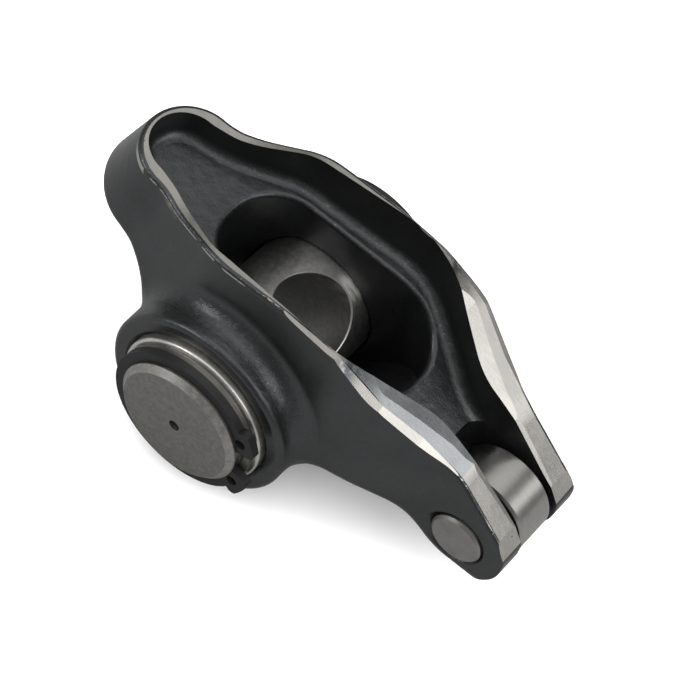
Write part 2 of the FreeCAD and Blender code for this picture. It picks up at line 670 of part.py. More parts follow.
# Tub, open at the top
tub_plan = ruled_blank(
    "tub_plan",
    plan_points("tub_upper", "blank_end_x", "tub_upper_end_y"),
    plan_points("tub_lower", "blank_end_x", "tub_lower_end_y"),
    "upper_z", "tub_lower_z",
    [(1, "tub_neck_round"), (2, "tub_flank_round"), (3, "tub_shoulder_round"), (4, "tub_fork_round")])
tub_side = side_blank(
    "tub_side",
    [
        ("-blank_back_x", "upper_z"),
        ("blank_end_x", "upper_z"),
        ("blank_end_x", "-web_end_z"),
        ("floor_turn_x", "floor_z"),
        ("-floor_back_x", "floor_z"),
        ("-blank_back_x", "floor_rear_z"),
    ],
    [(3, "floor_round")])
tub = combine("Common", "tub", tub_plan, tub_side)
tub_edged = round_shape("tub_edged", tub, border_edges(tub.Shape, False), "floor_edge")
hollowed = combine("Cut", "hollowed", blended, tub_edged)


# Window for trunnion and stud, and slot of the fork
def standing_slot(name, points, rounds, top="upper_z"):
    """Cutter that stands from the lower level to the size named in top, with rounded standing edges."""
    body = new_body(name)
    sketch = new_sketch(body, name + "_outline", "XY_Plane", "lower_z")
    outline(sketch, points)
    pad = body.newObject("PartDesign::Pad", name + "_pad")
    pad.Profile = sketch
    pad.setExpression("Length", "%s - Sizes.lower_z" % bound(top))
    tip(body, pad)
    for corner, radius in rounds:
        across, along = points[corner]
        spots = [Vector(size(across), sign * size(along), size("lower_z")) for sign in (1, -1)]
        round_edges(body, "%s_round_%d" % (name, corner), spots, Vector(0, 0, 1), radius)
    return body


window_plan = standing_slot(
    "window_plan",
    both_sides([("-window_back_x", "window_half"), ("window_front_x", "window_half")]),
    [(0, "window_back_round"), (1, "window_front_round")])
window_side = side_blank(
    "window_side",
    [
        ("-window_back_x", "upper_z"),
        ("blank_end_x", "upper_z"),
        ("blank_end_x", "cradle_front_z"),
        ("cradle_front_x", "cradle_front_z"),
        ("cradle_toe_x", "-cradle_z"),
        ("-window_back_x", "-cradle_z"),
    ],
    [(3, "cradle_front_round"), (4, "cradle_round"), (5, "cradle_round")])
window = combine("Common", "window", window_plan, window_side)
windowed = combine("Cut", "windowed", hollowed, window)


def on_window_lip(edge):
    """True for an edge where the wall of the window meets the floor of the tub."""
    faces = windowed.Shape.ancestorsOfType(edge, Part.Face)
    tilts = [abs(middle_normal(face).z) for face in faces]
    if len(faces) != 2 or min(tilts) > 0.02 or max(tilts) < 0.3:
        return False
    for parameter in edge.ParameterRange:
        point = edge.valueAt(parameter)
        if not size("-window_back_x") - 0.01 < point.x < size("window_front_x") + 0.01:
            return False
        if abs(point.y) > size("window_half") + 0.01 or point.z < size("trunnion_r"):
            return False
    return True


lip_edges = []
for number, edge in enumerate(windowed.Shape.Edges, start=1):
    if on_window_lip(edge):
        lip_edges.append(number)
lipped = round_shape("lipped", windowed, lip_edges, "lip_round")
stud_slot = standing_slot(
    "stud_slot",
    both_sides([("-stud_slot_back_x", "stud_slot_half"), ("stud_slot_front_x", "stud_slot_half")]),
    [(0, "stud_slot_round"), (1, "stud_slot_round")],
    "stud_slot_top")
opened = combine("Cut", "opened", lipped, stud_slot)
slot = standing_slot(
    "slot",
    both_sides([("slot_back_x", "slot_half"), ("blank_end_x", "slot_half")]),
    [(0, "slot_round")])
slotted = combine("Cut", "slotted", opened, slot)


# Facets ground on the rim by hand, from the window to the fork
def facet(name, stations, reach):
    """Cutter that takes the rim down from the edge of a facet to its reach, on the far side."""
    body = new_body(name)
    sections = []
    for number, (place, edge, level) in enumerate(stations):
        sketch = new_sketch(body, "%s_station_%d" % (name, number), "YZ_Plane", place)
        outline(sketch, [(edge, level), (edge, edge + "_top"), (reach, edge + "_top"), (reach, edge + "_low")])
        sections.append(sketch)
    doc.recompute()
    loft = body.newObject("PartDesign::AdditiveLoft", name + "_loft")
    loft.Profile = sections[0]
    loft.Sections = sections[1:]
    loft.Ruled = True
    tip(body, loft)
    return body


def mirrored(name, source):
    """Mirror image of an object on the other side of the XZ plane."""
    image = doc.addObject("Part::Mirroring", name)
    image.Source = source
    image.Normal = Vector(0, 1, 0)
    return image


ground = slotted
for name, stations, reach in (("outer_facet", OUTER_FACET, "facet_end"), ("inner_facet", INNER_FACET, "facet_reach")):
    cutter = facet(name, stations, reach)
    ground = combine("Cut", name + "_far", ground, cutter)
    ground = combine("Cut", name + "_near", ground, mirrored(name + "_image", cutter))

# Bearing bores with their shoulders, and the bores of the roller pin
bores = turned("bores", mirrored_section([
    ("0", "blank_half"),
    ("bore_mouth_r", "blank_half"),
    ("bore_mouth_r", "boss_half"),
    ("bore_r", "bore_mouth_y"),
    ("bore_r", "shoulder_y"),
    ("shoulder_r", "shoulder_y"),
]))
bored = combine("Cut", "bored", ground, bores)
pin_bores = turned("pin_bores", mirrored_section([
    ("0", "sink_end_y"),
    ("sink_end_r", "sink_end_y"),
    ("pin_bore_r", "sink_start_y"),
]))
pin_bores.setExpression("Placement.Base.x", bound("roller_arm"))
pinned = combine("Cut", "pinned", bored, pin_bores)

# Seat of the pushrod in the underside of the nose
ball = doc.addObject("Part::Sphere", "seat_ball")
ball.setExpression("Radius", bound("seat_r"))
ball.setExpression("Placement.Base.z", bound("seat_height"))
mouth = doc.addObject("Part::Cone", "seat_mouth")
mouth.setExpression("Radius1", "Sizes.seat_mouth_dia / 2")
mouth.setExpression("Radius2", bound("seat_r"))
mouth.setExpression("Height", bound("seat_height"))
entry = doc.addObject("Part::Cylinder", "seat_entry")
entry.setExpression("Radius", "Sizes.seat_mouth_dia / 2")
entry.Height = 2
entry.Placement.Base = Vector(0, 0, -2)
seat = doc.addObject("Part::MultiFuse", "seat")
seat.Shapes = [ball, mouth, entry]
seat.Placement.Rotation = Rotation(Vector(0, 1, 0), 1)
seat.setExpression("Placement.Rotation.Angle", bound("nose_lean"))
seat.setExpression("Placement.Base.x", bound("-pushrod_arm"))
seat.setExpression("Placement.Base.z", bound("nose_under"))
rocker_body = combine("Cut", "rocker_body", pinned, seat)


# Trunnion, with grooves for the snap rings
trunnion = turned("trunnion", mirrored_section([
    ("0", "centre_cone_y"),
    ("centre_r", "centre_side_y"),
    ("centre_r", "trunnion_half"),
    ("face_r", "trunnion_half"),
    ("trunnion_r", "chamfer_y"),
    ("trunnion_r", "groove_end"),
    ("groove_r", "groove_end"),
    ("groove_r", "groove_start"),
    ("trunnion_r", "groove_start"),
]))
stud_circle = new_sketch(trunnion, "stud_circle", "XY_Plane")
circle_in(stud_circle, "0", "0", "stud_bore_r")
stud_bore = trunnion.newObject("PartDesign::Pocket", "stud_bore")
stud_bore.Profile = stud_circle
stud_bore.Type = "ThroughAll"
stud_bore.SideType = "Symmetric"
tip(trunnion, stud_bore)
saddles = []
for number, edge in enumerate(trunnion.Shape.Edges, start=1):
    middle = edge.valueAt(sum(edge.ParameterRange) / 2)
    if abs(math.hypot(middle.x, middle.y) - size("stud_bore_r")) < 0.01 and abs(middle.z) > 1:
        if edge.Closed:
            saddles.append("Edge%d" % number)
dress(trunnion, "saddle_break", saddles, "stud_bore_chamfer", "Chamfer")
trunnion.Placement = Placement(Vector(0, 0, 0), Rotation(Vector(0, 1, 0), 1))
trunnion.setExpression("Placement.Rotation.Angle", bound("stud_lean"))


# Bearings, washers and snap rings, one set on each side
def sided(piece, side):
    """Piece drawn for the far side (+Y), given a half turn about X where it belongs to the near side."""
    if side == "near":
        piece.Placement = Placement(Vector(0, 0, 0), Rotation(Vector(1, 0, 0), 180))
    return piece


SHELL = [
    ("lip_inner_r", "shell_start"),
    ("shell_outer_r", "shell_start"),
    ("shell_outer_r", "shell_end"),
    ("lip_inner_r", "shell_end"),
    ("lip_inner_r", "lip_end_y"),
    ("shell_inner_r", "lip_end_y"),
    ("shell_inner_r", "lip_start_y"),
    ("lip_inner_r", "lip_start_y"),
]
WASHER = [
    ("washer_inner_r", "washer_start"),
    ("washer_outer_r", "washer_start"),
    ("washer_outer_r", "washer_end"),
    ("washer_inner_r", "washer_end"),
]
CAGE = [
    ("cage_inner_r", "cage_start"),
    ("cage_outer_r", "cage_start"),
    ("cage_outer_r", "cage_end"),
    ("cage_inner_r", "cage_end"),
]


def bearing_shell(side):
    body = turned("bearing_shell_" + side, SHELL)
    dress(body, "shell_ends_" + side, circles_of(body.Shape, "shell_outer_r"), "shell_corner")
    return sided(body, side)


def needle_places():
    """Turns about Y of the needles in one cage."""
    count = int(size("needle_count"))
    return [Rotation(Vector(0, 1, 0), 360.0 * index / count) for index in range(count)]


def needle_set(side):
    """Needle rollers of one bearing, as a group of separate solids."""
    radius = size("needle_dia") / 2
    length = size("needle_end") - size("needle_start")
    start = Vector(size("needle_ring_r"), size("needle_start"), 0)
    needles = []
    for turn in needle_places():
        needle = Part.makeCylinder(radius, length, start, Vector(0, 1, 0))
        needle.Placement = Placement(Vector(0, 0, 0), turn).multiply(needle.Placement)
        needles.append(needle)
    group = doc.addObject("Part::Feature", "needle_rollers_" + side)
    group.Shape = Part.makeCompound(needles)
    return sided(group, side)


def needle_cage(side):
    """Cage ring with a window for each needle."""
    ring = turned("cage_ring_" + side, CAGE)
    across = size("needle_dia") + 2 * size("pocket_gap")
    deep = 4 * size("cage_wall")
    low = size("cage_start") + size("cage_rim")
    corner = Vector(size("needle_ring_r") - deep / 2, low, -across / 2)
    cutters = []
    for turn in needle_places():
        cutter = Part.makeBox(deep, size("window_in_cage"), across, corner)
        cutter.Placement = Placement(Vector(0, 0, 0), turn).multiply(cutter.Placement)
        cutters.append(cutter)
    windows = doc.addObject("Part::Feature", "cage_windows_" + side)
    windows.Shape = Part.makeCompound(cutters)
    cage = combine("Cut", "needle_cage_" + side, ring, windows)
    return sided(cage, side)


def thrust_washer(side):
    body = turned("thrust_washer_" + side, WASHER)
    return sided(body, side)


def disc(name, radius, start, end, half_angle=None):
    """Disc, or sector about the snap ring's middle line, between two stations along Y."""
    piece = doc.addObject("Part::Cylinder", name)
    piece.setExpression("Radius", radius)
    piece.setExpression("Height", "%s - %s" % (bound(end), bound(start)))
    turn = Rotation(Vector(1, 0, 0), 90)
    if half_angle:
        piece.setExpression("Angle", "2 * " + bound(half_angle))
        turn = turn.multiply(Rotation(Vector(0, 0, 1), size("ring_turn") - size(half_angle)))
    piece.Placement = Placement(Vector(0, -size(start), 0), turn)
    return piece


def snap_ring(side):
    """External snap ring with two plier lugs beside its opening, drawn for the near side."""
    prefix = "snap_ring_%s_" % side
    rim = disc(prefix + "rim", bound("ring_outer_r"), "ring_start", "ring_end")
    lugs = disc(prefix + "lugs", bound("lug_reach"), "ring_start", "ring_end", "lug_end_half")
    whole = combine("Fuse", prefix + "whole", rim, lugs)
    hole = disc(prefix + "hole", bound("ring_inner_r"), "ring_start", "ring_end")
    opening = disc(prefix + "opening", "2 * " + bound("lug_reach"), "ring_start", "ring_end", "ring_gap_half")
    cutters = [hole, opening]
    for sign in (1, -1):
        angle = math.radians(size("ring_turn") + sign * size("lug_hole_angle"))
        plier = disc(prefix + ("upper_hole" if sign > 0 else "lower_hole"),
                     "Sizes.lug_hole_dia / 2", "ring_start", "ring_end")
        plier.Placement.Base += Vector(math.cos(angle), 0, math.sin(angle)) * size("lug_hole_ring")
        cutters.append(plier)
    tools = doc.addObject("Part::MultiFuse", prefix + "tools")
    tools.Shapes = cutters
    cut = combine("Cut", prefix + "cut", whole, tools)
    corners = []
    for number, edge in enumerate(cut.Shape.Edges, start=1):
        ends = [vertex.Point for vertex in edge.Vertexes]
        if len(ends) != 2 or abs(ends[1].y - ends[0].y) < 0.9 * edge.Length:
            continue
        if abs(math.hypot(ends[0].x, ends[0].z) - size("lug_reach")) < 0.01:
            corners.append(number)
    ring = round_shape("snap_ring_" + side, cut, corners, "lug_round")
    ring.Label = "snap_ring_" + side
    if side == "far":
        shift = size("ring_start") + size("ring_end")
        ring.Placement = Placement(Vector(0, shift, 0), Rotation())
    return ring


# Roller tip on its pin
roller_tip = turned("roller_tip", mirrored_section([
    ("roller_mouth_r", "roller_half"),
    ("roller_face_r", "roller_half"),
    ("roller_r", "roller_side_y"),
]) + [("roller_bore_r", "-roller_side_y"), ("roller_bore_r", "roller_side_y")])
roller_tip.setExpression("Placement.Base.x", bound("roller_arm"))
roller_pin = turned("roller_pin", mirrored_section([
    ("0", "pin_half"),
    ("pin_face_r", "pin_half"),
    ("pin_r", "pin_side_y"),
]))
roller_pin.setExpression("Placement.Base.x", bound("roller_arm"))

nodes = [rocker_body, trunnion, roller_tip, roller_pin]
for side in ("near", "far"):
    nodes.append(bearing_shell(side))
    nodes.append(needle_cage(side))
    nodes.append(needle_set(side))
    nodes.append(thrust_washer(side))
    nodes.append(snap_ring(side))
doc.recompute()

for thing in doc.Objects:
    if "Invalid" in thing.State or "Error" in thing.State:
        raise RuntimeError("%s is %s" % (thing.Name, thing.State))
for node in nodes:
    shape = node.Shape
    if shape.isNull() or not shape.isValid() or not shape.Solids:
        raise RuntimeError("%s has no valid solid" % node.Label)
    shape.exportStep("parts/%s.step" % node.Label)
    print("%-24s %3d solids %10.2f mm3" % (node.Label, len(shape.Solids), shape.Volume))
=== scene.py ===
"""Looks, light and camera for the rocker arm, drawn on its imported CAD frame."""
import logging
import math
from dataclasses import dataclass, field
from enum import Enum
from typing import Dict, Iterable, List, Optional, Sequence, Tuple, Union

import bpy
from mathutils import Matrix, Vector

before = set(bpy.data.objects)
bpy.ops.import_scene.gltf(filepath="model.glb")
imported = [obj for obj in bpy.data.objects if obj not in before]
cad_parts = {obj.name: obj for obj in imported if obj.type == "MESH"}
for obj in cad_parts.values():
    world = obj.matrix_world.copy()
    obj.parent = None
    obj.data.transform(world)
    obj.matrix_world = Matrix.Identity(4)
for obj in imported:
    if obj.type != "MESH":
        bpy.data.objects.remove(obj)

logging.basicConfig(level=logging.INFO, format="%(name)s: %(message)s")
log = logging.getLogger("rocker_arm")

MM = 0.001
Colour = Tuple[float, float, float, float]
Span = Tuple[float, float]
Triple = Tuple[float, float, float]
Socket = bpy.types.NodeSocket


class Side(Enum):
    """Side of the arm a piece sits on."""

    NEAR = "near"
    FAR = "far"


def linear(hex_code: str) -> Colour:
    """Turn an sRGB hex code into linear colour.

    Args:
        hex_code: Six digits, such as "8a8c90".

    Returns:
        Linear red, green, blue and an alpha of one.
    """
    parts = [int(hex_code[i:i + 2], 16) / 255 for i in (0, 2, 4)]
    values = [p / 12.92 if p <= 0.04045 else ((p + 0.055) / 1.055) ** 2.4 for p in parts]
    return values[0], values[1], values[2], 1.0


def add_node(
    tree: bpy.types.NodeTree,
    kind: str,
    settings: Optional[Dict[str, object]] = None,
    links: Optional[Dict[object, object]] = None,
) -> bpy.types.Node:
    """Add a node, with its settings and what goes into its sockets.

    Args:
        tree: Node tree that gets the node.
        kind: Blender's name of the node type.
        settings: Attributes of the node.
        links: Input name or number to an output socket to link, or to a constant.

    Returns:
        The new node.
    """
    node = tree.nodes.new(kind)
    for name, value in (settings or {}).items():
        setattr(node, name, value)
    for name, value in (links or {}).items():
        if isinstance(value, Socket):
            tree.links.new(value, node.inputs[name])
        else:
            node.inputs[name].default_value = value
    return node


def set_stops(node: bpy.types.Node, stops: Sequence[Tuple[float, Colour]]) -> Socket:
    """Set the two stops of a new colour ramp.

    Args:
        node: The colour ramp node.
        stops: Position and colour of each stop, in order.

    Returns:
        The ramp's colour output.
    """
    for element, (position, colour) in zip(node.color_ramp.elements, stops):
        element.position = position
        element.color = colour
    return node.outputs["Color"]


def start_tree(name: str) -> Tuple[bpy.types.Material, bpy.types.NodeTree]:
    """Make a node material with an empty tree.

    Args:
        name: The material's name.

    Returns:
        The material and its node tree.
    """
    material = bpy.data.materials.new(name)
    material.use_nodes = True
    material.node_tree.nodes.clear()
    log.info("finish %s", name)
    return material, material.node_tree


def in_millimetres(tree: bpy.types.NodeTree, stretch: Triple = (1.0, 1.0, 1.0)) -> Socket:
    """Give the place on the piece in millimetres.

    Args:
        tree: Node tree of the material.
        stretch: Factor along each axis; a small one draws the pattern out.

    Returns:
        The vector output.
    """
    place = add_node(tree, "ShaderNodeTexCoord").outputs["Object"]
    scale = tuple(factor / MM for factor in stretch)
    return add_node(tree, "ShaderNodeMapping", None, {"Vector": place, "Scale": scale}).outputs["Vector"]


def window_mask(
    tree: bpy.types.NodeTree, value: Socket, low: Optional[Span] = None, high: Optional[Span] = None
) -> Socket:
    """Mask that is one where a value lies between two soft borders, of which one may be left out.

    Args:
        tree: Node tree of the material.
        value: The value looked at.
        low: Where the mask starts to rise and where it is full.
        high: Where the mask starts to fall and where it is gone.

    Returns:
        The mask's output.
    """
    borders = [low] if low else []
    if high:
        borders.append((high[1], high[0]))
    steps = [
        add_node(
            tree, "ShaderNodeMapRange", {"interpolation_type": "SMOOTHSTEP"},
            {"Value": value, "From Min": empty, "From Max": full}).outputs["Result"]
        for empty, full in borders]
    if len(steps) == 1:
        return steps[0]
    return add_node(
        tree, "ShaderNodeMath", {"operation": "MULTIPLY"}, {0: steps[0], 1: steps[1]}).outputs[0]


@dataclass(frozen=True)
class Metal:
    """A metal finish: colour, gloss, grain and marks, with sizes in millimetres.

    The tone runs from dark to light over colour_span and from low to high roughness over gloss_span.
    """

    name: str
    dark: str
    light: str
    metallic: float = 1.0
    roughness: Span = (0.3, 0.4)
    grain: float = 0.2
    grain_depth: float = 0.004
    grain_share: float = 0.45
    stretch: Triple = (1.0, 1.0, 1.0)
    cloud: float = 6.0
    colour_span: Span = (0.35, 0.65)
    gloss_span: Span = (0.3, 0.7)

    def build(self) -> bpy.types.Material:
        """Make the material.

        Returns:
            The node material.
        """
        material, tree = start_tree(self.name)
        plain = in_millimetres(tree)
        tone, height = self.pattern(tree, plain)
        ramp = add_node(tree, "ShaderNodeValToRGB", None, {"Fac": tone})
        colour = set_stops(ramp, list(zip(self.colour_span, (linear(self.dark), linear(self.light)))))
        rough = add_node(
            tree, "ShaderNodeMapRange", None,
            {"Value": tone, "From Min": self.gloss_span[0], "From Max": self.gloss_span[1],
             "To Min": self.roughness[0], "To Max": self.roughness[1]}).outputs["Result"]
        colour, rough, metallic = self.marks(tree, plain, colour, rough)
        bump = add_node(
            tree, "ShaderNodeBump", None,
            {"Strength": self.relief(tree), "Distance": self.grain_depth * MM,
             "Height": height}).outputs["Normal"]
        shader = add_node(
            tree, "ShaderNodeBsdfPrincipled", None,
            {"Base Color": colour, "Metallic": metallic, "Roughness": rough, "Normal": bump})
        add_node(tree, "ShaderNodeOutputMaterial", None, {"Surface": shader.outputs["BSDF"]})
        return material

    def relief(self, tree: bpy.types.NodeTree) -> Union[Socket, float]:
        """Give the strength of the bumps, the same all over a plain metal.

        Args:
            tree: Node tree of the material; not used here.

        Returns:
            The strength.
        """
        return 1.0

    def pattern(self, tree: bpy.types.NodeTree, plain: Socket) -> Tuple[Socket, Socket]:
        """Mix fine grain and broad clouds.

        Args:
            tree: Node tree of the material.
            plain: Place in millimetres.

        Returns:
            The tone, which drives colour and gloss, and the height for the bumps.
        """
        grain = add_node(
            tree, "ShaderNodeTexNoise", None,
            {"Vector": in_millimetres(tree, self.stretch), "Scale": 1 / self.grain, "Detail": 4.0,
             "Roughness": 0.6}).outputs["Fac"]
        cloud = add_node(
            tree, "ShaderNodeTexNoise", None,
            {"Vector": plain, "Scale": 1 / self.cloud, "Detail": 3.0, "Roughness": 0.55}).outputs["Fac"]
        share = add_node(
            tree, "ShaderNodeMath", {"operation": "MULTIPLY"}, {0: grain, 1: self.grain_share}).outputs[0]
        tone = add_node(
            tree, "ShaderNodeMath", {"operation": "MULTIPLY_ADD"},
            {0: cloud, 1: 1 - self.grain_share, 2: share}).outputs[0]
        return tone, grain

    def marks(
        self, tree: bpy.types.NodeTree, plain: Socket, colour: Socket, rough: Socket
    ) -> Tuple[Socket, Socket, Union[Socket, float]]:
        """Draw marks over the finish; a plain metal has none.

        Args:
            tree: Node tree of the material; not used here.
            plain: Place in millimetres; not used here.
            colour: Colour of the bare finish.
            rough: Roughness of the bare finish.

        Returns:
            Colour, roughness and metallic value with the marks.
        """
        return colour, rough, self.metallic


@dataclass(frozen=True)
class CastSkin(Metal):
    """Black oxide on an investment casting, with painted glints as bright specks on its upward-facing
    roundings, and a worn line round the nose.

    A tilt is the upward part of the surface's normal: zero on a wall, one on a floor.
    """

    peel: float = 1.6
    peel_share: float = 2.2
    smooth_share: float = 0.22
    smooth_tilt: Span = (0.2, 0.6)
    # Painted glints: light specks where the upward-facing roundings catch the light
    glint: float = 0.5
    glint_reach: float = 0.3
    glint_colour: str = "6f7073"
    glint_tilt: Tuple[Span, Span] = ((0.3, 0.5), (0.93, 1.02))
    flock: float = 1.3
    flock_from: Span = (0.46, 0.62)
    worn_colour: str = "b9b6af"
    worn_tilt: Tuple[Span, Span] = ((0.16, 0.22), (0.36, 0.46))
    worn_x: Tuple[Span, Span] = ((-26.0, -24.0), (-2.0, 0.0))
    worn_y: Tuple[Span, Span] = ((-14.0, -13.0), (-3.0, -2.0))
    worn_from: Span = (17.08, 17.28)
    rim_fall: float = 0.128
    rub: float = 2.5
    rub_from: Span = (0.42, 0.5)

    def relief(self, tree: bpy.types.NodeTree) -> Union[Socket, float]:
        """Make the skin rough where it looks up and smooth on the standing walls.

        Args:
            tree: Node tree of the material.

        Returns:
            The strength.
        """
        normal = add_node(tree, "ShaderNodeTexCoord").outputs["Normal"]
        tilt = add_node(tree, "ShaderNodeSeparateXYZ", None, {"Vector": normal}).outputs["Z"]
        return add_node(
            tree, "ShaderNodeMapRange", {"interpolation_type": "SMOOTHSTEP"},
            {"Value": tilt, "From Min": self.smooth_tilt[0], "From Max": self.smooth_tilt[1],
             "To Min": self.smooth_share, "To Max": 1.0}).outputs["Result"]

    def pattern(self, tree: bpy.types.NodeTree, plain: Socket) -> Tuple[Socket, Socket]:
        """Add the broad waves of the casting to the grain.

        Args:
            tree: Node tree of the material.
            plain: Place in millimetres.

        Returns:
            The tone and the height for the bumps.
        """
        tone, grain = super().pattern(tree, plain)
        peel = add_node(
            tree, "ShaderNodeTexNoise", None,
            {"Vector": plain, "Scale": 1 / self.peel, "Detail": 1.0, "Roughness": 0.4}).outputs["Fac"]
        height = add_node(
            tree, "ShaderNodeMath", {"operation": "MULTIPLY_ADD"},
            {0: peel, 1: self.peel_share, 2: grain}).outputs[0]
        return tone, height

    def marks(
        self, tree: bpy.types.NodeTree, plain: Socket, colour: Socket, rough: Socket
    ) -> Tuple[Socket, Socket, Union[Socket, float]]:
        """Draw the painted glints, bright specks on the cast skin, and the worn line round the nose.

        Args:
            tree: Node tree of the material.
            plain: Place in millimetres.
            colour: Colour of the bare finish.
            rough: Roughness of the bare finish.

        Returns:
            Colour, roughness and metallic value with the marks.
        """
        normal = add_node(tree, "ShaderNodeTexCoord").outputs["Normal"]
        tilt = add_node(tree, "ShaderNodeSeparateXYZ", None, {"Vector": normal}).outputs["Z"]
        glints = self.glints(tree, plain, tilt)
        # Painted glints: the specks mix a light grey into the skin's colour
        colour = add_node(
            tree, "ShaderNodeMix", {"data_type": "RGBA"},
            {0: glints, 6: colour, 7: linear(self.glint_colour)}).outputs[2]
        line = self.worn_line(tree, plain, tilt)
        colour = add_node(
            tree, "ShaderNodeMix", {"data_type": "RGBA"},
            {0: line, 6: colour, 7: linear(self.worn_colour)}).outputs[2]
        bright = add_node(tree, "ShaderNodeMath", {"operation": "MAXIMUM"}, {0: line, 1: glints}).outputs[0]
        metallic = add_node(
            tree, "ShaderNodeMapRange", None,
            {"Value": bright, "To Min": self.metallic, "To Max": 1.0}).outputs["Result"]
        return colour, rough, metallic

    def glints(self, tree: bpy.types.NodeTree, plain: Socket, tilt: Socket) -> Socket:
        """Find the painted glints: bright specks, in flocks on the upward-facing roundings.

        Args:
            tree: Node tree of the material.
            plain: Place in millimetres.
            tilt: Upward part of the normal.

        Returns:
            Mask of the painted glints.
        """
        spots = add_node(
            tree, "ShaderNodeTexVoronoi", {"feature": "F1"},
            {"Vector": plain, "Scale": 1 / self.glint, "Randomness": 1.0}).outputs["Distance"]
        mask = window_mask(tree, spots, high=(self.glint_reach / 2, self.glint_reach))
        flock = add_node(
            tree, "ShaderNodeTexNoise", None,
            {"Vector": plain, "Scale": 1 / self.flock, "Detail": 3.0, "Roughness": 0.7}).outputs["Fac"]
        for part in (window_mask(tree, flock, self.flock_from), window_mask(tree, tilt, *self.glint_tilt)):
            mask = add_node(tree, "ShaderNodeMath", {"operation": "MULTIPLY"}, {0: mask, 1: part}).outputs[0]
        return mask

    def worn_line(self, tree: bpy.types.NodeTree, plain: Socket, tilt: Socket) -> Socket:
        """Find the broken line where the rim's rounding meets the near wall, from the nose to the boss.

        Args:
            tree: Node tree of the material.
            plain: Place in millimetres.
            tilt: Upward part of the normal.

        Returns:
            Mask of the line.
        """
        where = add_node(tree, "ShaderNodeSeparateXYZ", None, {"Vector": plain})
        above = add_node(
            tree, "ShaderNodeMath", {"operation": "MULTIPLY_ADD"},
            {0: where.outputs["X"], 1: self.rim_fall, 2: where.outputs["Z"]}).outputs[0]
        rubs = add_node(
            tree, "ShaderNodeTexNoise", None,
            {"Vector": plain, "Scale": 1 / self.rub, "Detail": 4.0, "Roughness": 0.7}).outputs["Fac"]
        mask = window_mask(tree, tilt, *self.worn_tilt)
        for part in (
                window_mask(tree, where.outputs["X"], *self.worn_x),
                window_mask(tree, where.outputs["Y"], *self.worn_y),
                window_mask(tree, above, self.worn_from),
                window_mask(tree, rubs, self.rub_from)):
            mask = add_node(tree, "ShaderNodeMath", {"operation": "MULTIPLY"}, {0: mask, 1: part}).outputs[0]
        return mask


@dataclass(frozen=True)
class GroundMetal(Metal):
    """Bare metal ground by hand: strokes, small pits and a dull patch where the grinding changes."""

    pit: float = 2.6
    pit_reach: float = 0.055
    pit_colour: str = "1c1c1d"
    patch_x: float = 16.0
    patch_half: float = 2.6
    patch_colour: str = "6d7075"
    patch_grain: float = 1.4
    patch_from: Span = (0.38, 0.55)
    wave: float = 4.5
    wave_share: float = 7.0

    def pattern(self, tree: bpy.types.NodeTree, plain: Socket) -> Tuple[Socket, Socket]:
        """Add the broad waves of grinding by hand to the grain.

        Args:
            tree: Node tree of the material.
            plain: Place in millimetres.

        Returns:
            The tone and the height for the bumps.
        """
        tone, grain = super().pattern(tree, plain)
        wave = add_node(
            tree, "ShaderNodeTexNoise", None,
            {"Vector": plain, "Scale": 1 / self.wave, "Detail": 1.0, "Roughness": 0.4}).outputs["Fac"]
        height = add_node(
            tree, "ShaderNodeMath", {"operation": "MULTIPLY_ADD"},
            {0: wave, 1: self.wave_share, 2: grain}).outputs[0]
        return tone, height

    def marks(
        self, tree: bpy.types.NodeTree, plain: Socket, colour: Socket, rough: Socket
    ) -> Tuple[Socket, Socket, Union[Socket, float]]:
        """Draw the pits and the dull patch.

        Args:
            tree: Node tree of the material.
            plain: Place in millimetres.
            colour: Colour of the bare finish.
            rough: Roughness of the bare finish.

        Returns:
            Colour, roughness and metallic value with the marks.
        """
        along = add_node(tree, "ShaderNodeSeparateXYZ", None, {"Vector": plain}).outputs["X"]
        patch = window_mask(
            tree, along, (self.patch_x - self.patch_half, self.patch_x),
            (self.patch_x, self.patch_x + self.patch_half))
        ragged = add_node(
            tree, "ShaderNodeTexNoise", None,
            {"Vector": plain, "Scale": 1 / self.patch_grain, "Detail": 4.0,
             "Roughness": 0.65}).outputs["Fac"]
        patch = add_node(
            tree, "ShaderNodeMath", {"operation": "MULTIPLY"},
            {0: patch, 1: window_mask(tree, ragged, self.patch_from)}).outputs[0]
        colour = add_node(
            tree, "ShaderNodeMix", {"data_type": "RGBA"},
            {0: patch, 6: colour, 7: linear(self.patch_colour)}).outputs[2]
        spots = add_node(
            tree, "ShaderNodeTexVoronoi", {"feature": "F1"},
            {"Vector": plain, "Scale": 1 / self.pit, "Randomness": 1.0}).outputs["Distance"]
        pits = window_mask(tree, spots, high=(self.pit_reach / 2, self.pit_reach))
        colour = add_node(
            tree, "ShaderNodeMix", {"data_type": "RGBA"},
            {0: pits, 6: colour, 7: linear(self.pit_colour)}).outputs[2]
        return colour, rough, self.metallic


